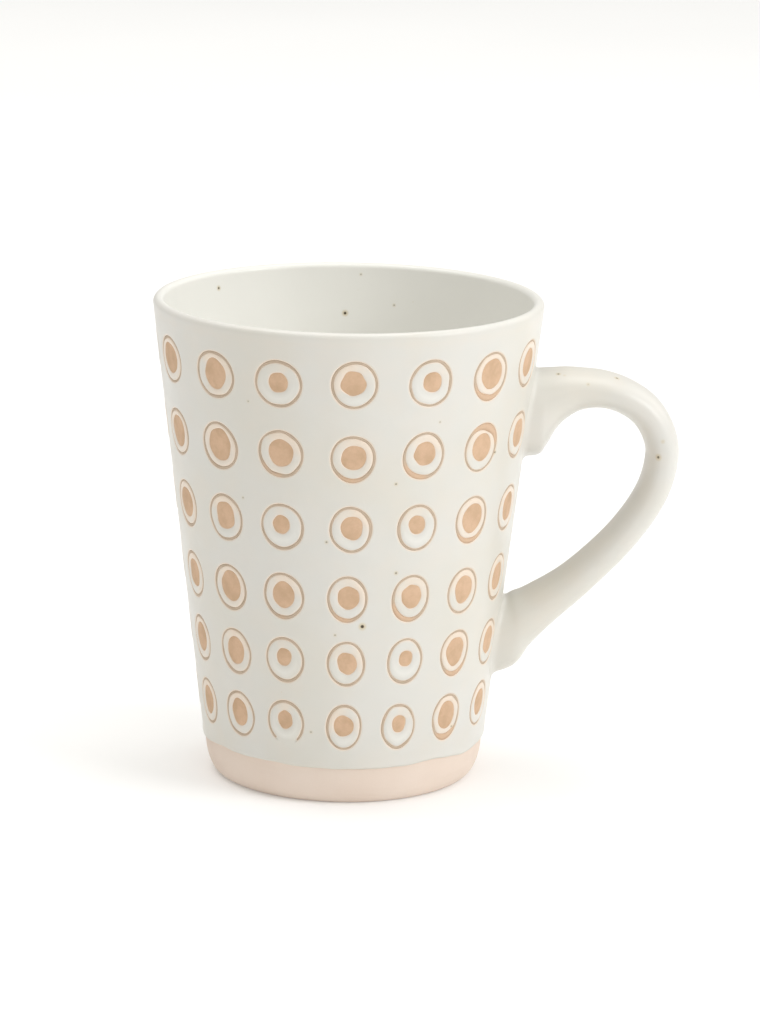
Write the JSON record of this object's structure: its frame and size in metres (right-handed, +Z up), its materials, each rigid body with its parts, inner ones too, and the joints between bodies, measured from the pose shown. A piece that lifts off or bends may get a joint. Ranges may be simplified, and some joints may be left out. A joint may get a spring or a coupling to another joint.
{
  "type": "tapered mug with strap handle",
  "caption": "Tall tapered stoneware mug with an ear-shaped strap handle, white glaze outside and in, and a bare clay foot.",
  "frame": {"origin": "centre of the flat underside, on the cup's axis, at the surface the mug stands on", "axes": "+Z up along the cup's axis, +X from the axis towards the handle, +Y to the left of someone who stands behind the handle and looks at the cup"},
  "size_m": [0.1215, 0.0896, 0.112],
  "materials": {
    "bare_clay": "unglazed, fine-grained and matt, pinkish beige",
    "slip_clay": "fired slip, matt",
    "white_glaze": "warm white satin gloss glaze, with tan rings and dots and a few iron specks"
  },
  "bodies": {
    "root": {"clay_cup": "bare_clay", "handle": "bare_clay", "upper_slip_joint": "slip_clay", "lower_slip_joint": "slip_clay", "body_glaze": "white_glaze", "liner_glaze": "white_glaze", "handle_glaze": "white_glaze"}
  },
  "joints": []
}
